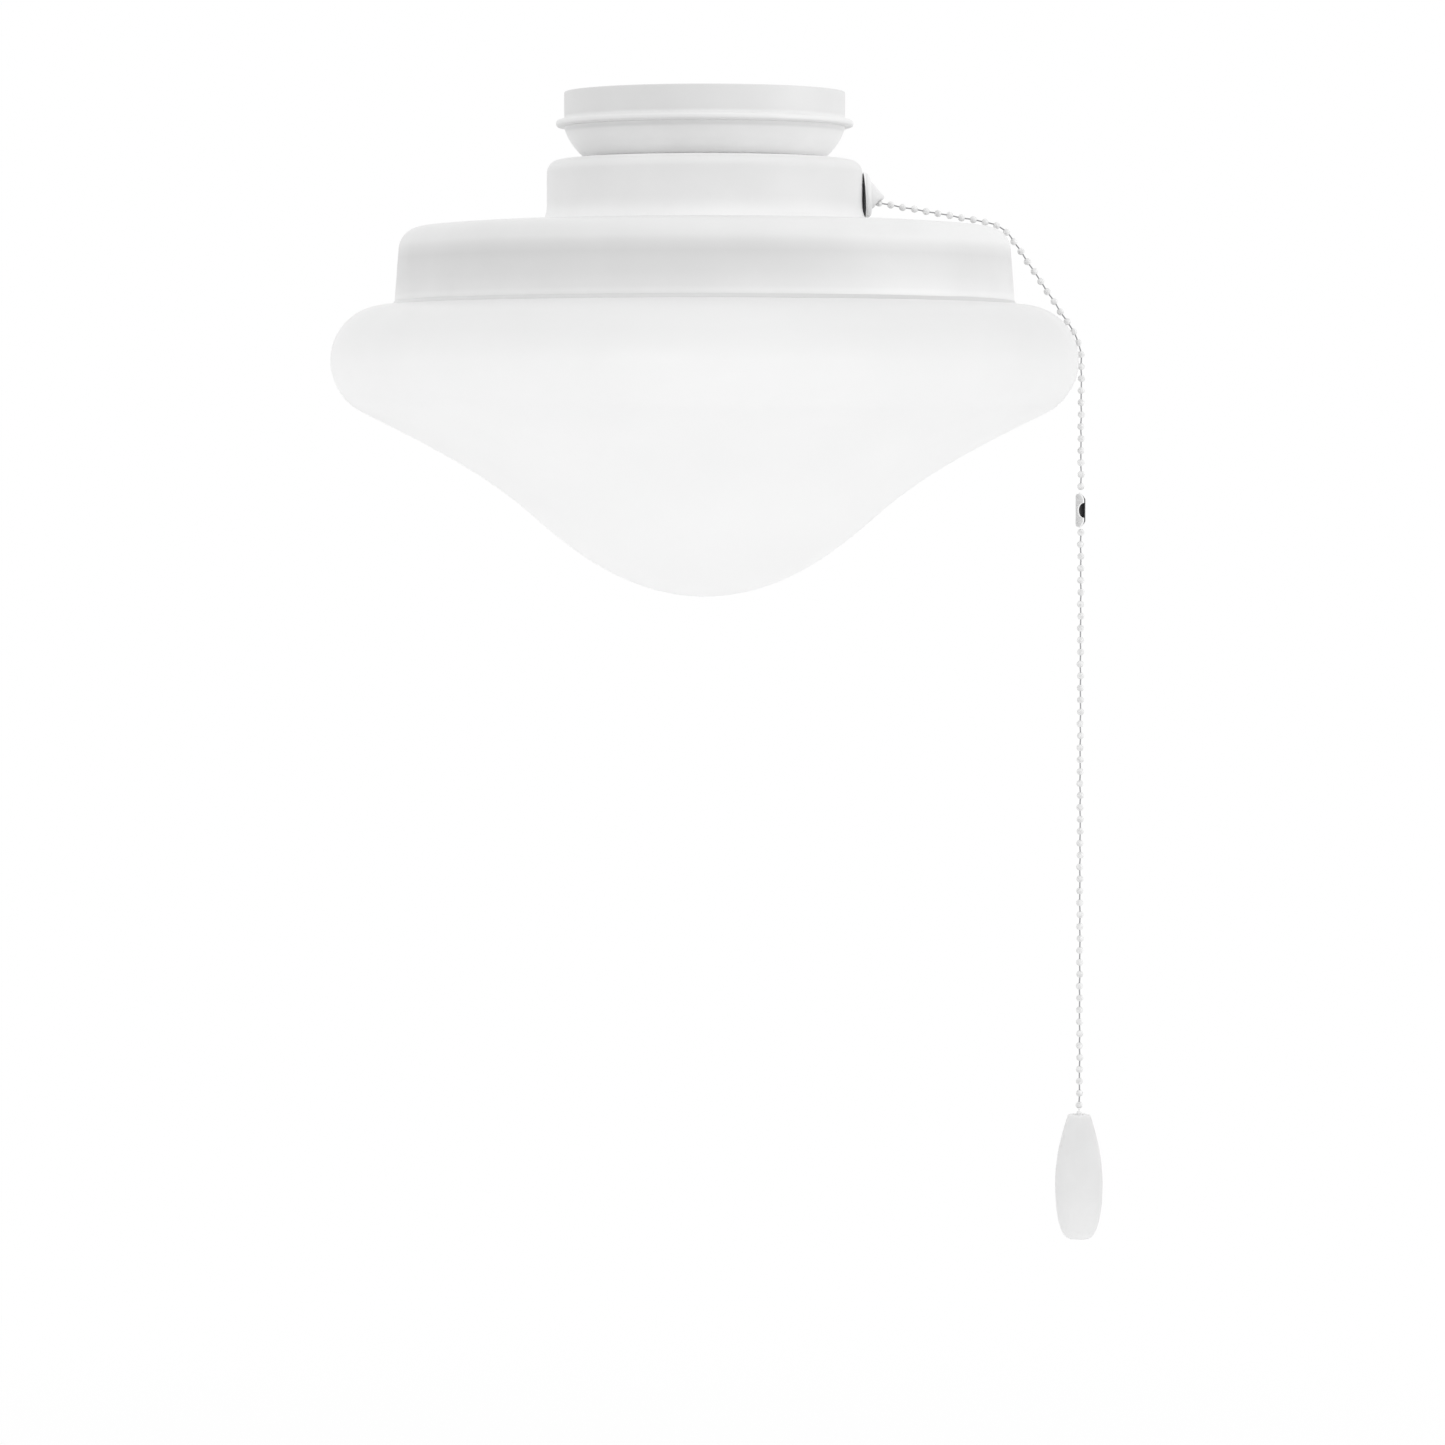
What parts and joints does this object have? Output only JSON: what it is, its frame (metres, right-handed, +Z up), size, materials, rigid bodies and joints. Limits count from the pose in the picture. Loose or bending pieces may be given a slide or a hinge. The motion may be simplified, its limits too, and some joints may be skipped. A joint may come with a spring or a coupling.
{
  "type": "ceiling fan light kit",
  "caption": "Light kit for a ceiling fan: stepped white metal housing, twist-lock opal glass bowl, screw lamps and a pull switch worked by a bead chain with a hanging fob.",
  "frame": {"origin": "on the vertical axis of the turned parts, at the top face of the flange that meets the fan", "axes": "+Z up along the axis into the fan's switch housing, +X towards the side where the chain hangs, +Y away from the picture's viewer"},
  "size_m": [0.3099, 0.2988, 0.4606],
  "materials": {
    "cap_paint": "satin white baked paint, a shade greyer than the housing",
    "housing_paint": "satin white baked paint",
    "opal_glass": "satin opal white glass",
    "zinc_steel": "zinc plated",
    "brass": "plain",
    "bell_paint": "gloss white paint",
    "bead_steel": "white painted and bright steel beads",
    "clasp_steel": "bright plated",
    "holder_plastic": "moulded",
    "lamp_plastic": "frosted",
    "switch_plastic": "moulded",
    "fob_paint": "gloss white lacquer"
  },
  "bodies": {
    "root": {"fitter_cap": "cap_paint", "threaded_nipple": "zinc_steel", "lock_washer": "zinc_steel", "locknut_top": "brass", "spacer_washer": "zinc_steel", "switch_housing": "housing_paint", "holder_pan": "housing_paint", "lampholder_bracket": "zinc_steel", "locknut_bottom": "brass", "lampholder_1": "holder_plastic", "lampholder_1_shell": "brass", "lampholder_2": "holder_plastic", "lampholder_2_shell": "brass", "glass_clip_1": "zinc_steel", "glass_clip_2": "zinc_steel", "glass_clip_3": "zinc_steel", "pull_switch": "switch_plastic", "bushing_nut": "zinc_steel", "chain_bell": "bell_paint"},
    "glass": {"glass_bowl": "opal_glass"},
    "lamp_1_tip": {"lamp_1_contact": "brass"},
    "lamp_1": {"lamp_1_screw_cap": "zinc_steel", "lamp_1_globe": "lamp_plastic"},
    "lamp_2_tip": {"lamp_2_contact": "brass"},
    "lamp_2": {"lamp_2_screw_cap": "zinc_steel", "lamp_2_globe": "lamp_plastic"},
    "chain_run_upper": {"chain_run_upper": "bead_steel"},
    "chain_bead_1": {"chain_bead_1": "bead_steel"},
    "chain_bead_2": {"chain_bead_2": "bead_steel"},
    "chain_bead_3": {"chain_bead_3": "bead_steel"},
    "chain_bead_4": {"chain_bead_4": "bead_steel"},
    "chain_run_slope": {"chain_run_slope": "bead_steel"},
    "chain_bead_5": {"chain_bead_5": "bead_steel"},
    "chain_bead_6": {"chain_bead_6": "bead_steel"},
    "chain_bead_7": {"chain_bead_7": "bead_steel"},
    "chain_bead_8": {"chain_bead_8": "bead_steel"},
    "chain_bead_9": {"chain_bead_9": "bead_steel"},
    "chain_edge": {"chain_edge_bead": "bead_steel"},
    "chain_pivot": {"chain_pivot_bead": "bead_steel"},
    "chain_drop": {"chain_drop_upper": "bead_steel", "chain_clasp": "clasp_steel", "chain_drop_lower": "bead_steel", "fob_ferrule": "brass"},
    "fob": {"fob": "fob_paint"}
  },
  "joints": [
    {"name": "glass_twist", "type": "hinge", "parent": "root", "child": "glass", "pos_m": [0, 0, -0.0739], "axis": [0, 0, 1], "range_deg": [0, 28]},
    {"name": "lamp_1_travel", "type": "slide", "parent": "root", "child": "lamp_1_tip", "axis": [0, 0, -1], "range_m": [0, 0.0073]},
    {"name": "lamp_1_unscrew", "type": "hinge", "parent": "lamp_1_tip", "child": "lamp_1", "pos_m": [-0.036, 0, -0.0498], "axis": [0, 0, -1], "range_deg": [0, 720]},
    {"name": "lamp_2_travel", "type": "slide", "parent": "root", "child": "lamp_2_tip", "axis": [0, 0, -1], "range_m": [0, 0.0073]},
    {"name": "lamp_2_unscrew", "type": "hinge", "parent": "lamp_2_tip", "child": "lamp_2", "pos_m": [0.036, 0, -0.0498], "axis": [0, 0, -1], "range_deg": [0, 720]},
    {"name": "chain_pull", "type": "slide", "parent": "root", "child": "chain_edge", "axis": [0, 0, -1], "range_m": [0, 0.00962], "stiffness_N_per_m": 800, "springref_m": -0.004},
    {"name": "chain_run_upper_slide", "type": "slide", "parent": "root", "child": "chain_run_upper", "axis": [0.9834, 0.0515, -0.174], "range_m": [0, 0.0097]},
    {"name": "chain_bead_1_turn", "type": "hinge", "parent": "root", "child": "chain_bead_1", "pos_m": [0.10386, 0.00544, -0.07595], "axis": [-0.0523, 0.9986, 0], "range_deg": [0, 15.22]},
    {"name": "chain_bead_2_turn", "type": "hinge", "parent": "root", "child": "chain_bead_2", "pos_m": [0.10961, 0.00574, -0.05721], "axis": [-0.0523, 0.9986, 0], "range_deg": [0, 32.59]},
    {"name": "chain_bead_3_turn", "type": "hinge", "parent": "root", "child": "chain_bead_3", "pos_m": [0.10898, 0.00571, -0.05752], "axis": [-0.0523, 0.9986, 0], "range_deg": [0, 31.47]},
    {"name": "chain_bead_4_turn", "type": "hinge", "parent": "root", "child": "chain_bead_4", "pos_m": [0.09223, 0.00483, -0.07162], "axis": [-0.0523, 0.9986, 0], "range_deg": [0, 14.11]},
    {"name": "chain_run_slope_slide", "type": "slide", "parent": "root", "child": "chain_run_slope", "axis": [0.5551, 0.0291, -0.8313], "range_m": [0, 0.0097]},
    {"name": "chain_bead_5_turn", "type": "hinge", "parent": "root", "child": "chain_bead_5", "pos_m": [0.03465, 0.00182, -0.1531], "axis": [-0.0523, 0.9986, 0], "range_deg": [0, 4.24]},
    {"name": "chain_bead_6_turn", "type": "hinge", "parent": "root", "child": "chain_bead_6", "pos_m": [0.11721, 0.00614, -0.10071], "axis": [-0.0523, 0.9986, 0], "range_deg": [0, 15.99]},
    {"name": "chain_bead_7_turn", "type": "hinge", "parent": "root", "child": "chain_bead_7", "pos_m": [0.12732, 0.00667, -0.0958], "axis": [-0.0523, 0.9986, 0], "range_deg": [0, 23.55]},
    {"name": "chain_bead_8_turn", "type": "hinge", "parent": "root", "child": "chain_bead_8", "pos_m": [0.12036, 0.00631, -0.0969], "axis": [-0.0523, 0.9986, 0], "range_deg": [0, 18.16]},
    {"name": "chain_bead_9_turn", "type": "hinge", "parent": "root", "child": "chain_bead_9", "pos_m": [0.06376, 0.00334, -0.09931], "axis": [-0.0523, 0.9986, 0], "range_deg": [0, 6.41]},
    {"name": "chain_swing_out", "type": "hinge", "parent": "chain_edge", "child": "chain_pivot", "pos_m": [0.15094, 0.00791, -0.10282], "axis": [0.0523, -0.9986, 0], "range_deg": [-12, 40]},
    {"name": "chain_swing_side", "type": "hinge", "parent": "chain_pivot", "child": "chain_drop", "pos_m": [0.15094, 0.00791, -0.10282], "axis": [0.9986, 0.0523, 0], "range_deg": [-25, 25]},
    {"name": "fob_spin", "type": "hinge", "parent": "chain_drop", "child": "fob", "pos_m": [0.15094, 0.00791, -0.4], "axis": [0, 0, -1], "continuous": true}
  ],
  "couplings": [
    {"joint": "lamp_1_travel", "follows": "lamp_1_unscrew", "m_per_rad": 0.00057757},
    {"joint": "lamp_2_travel", "follows": "lamp_2_unscrew", "m_per_rad": 0.00057757},
    {"joint": "chain_run_upper_slide", "follows": "chain_pull", "ratio": 1},
    {"joint": "chain_bead_1_turn", "follows": "chain_pull", "rad_per_m": 27.298},
    {"joint": "chain_bead_2_turn", "follows": "chain_pull", "rad_per_m": 58.548},
    {"joint": "chain_bead_3_turn", "follows": "chain_pull", "rad_per_m": 56.539},
    {"joint": "chain_bead_4_turn", "follows": "chain_pull", "rad_per_m": 25.289},
    {"joint": "chain_run_slope_slide", "follows": "chain_pull", "ratio": 1},
    {"joint": "chain_bead_5_turn", "follows": "chain_pull", "rad_per_m": 7.5361},
    {"joint": "chain_bead_6_turn", "follows": "chain_pull", "rad_per_m": 28.678},
    {"joint": "chain_bead_7_turn", "follows": "chain_pull", "rad_per_m": 42.283},
    {"joint": "chain_bead_8_turn", "follows": "chain_pull", "rad_per_m": 32.587},
    {"joint": "chain_bead_9_turn", "follows": "chain_pull", "rad_per_m": 11.445}
  ]
}
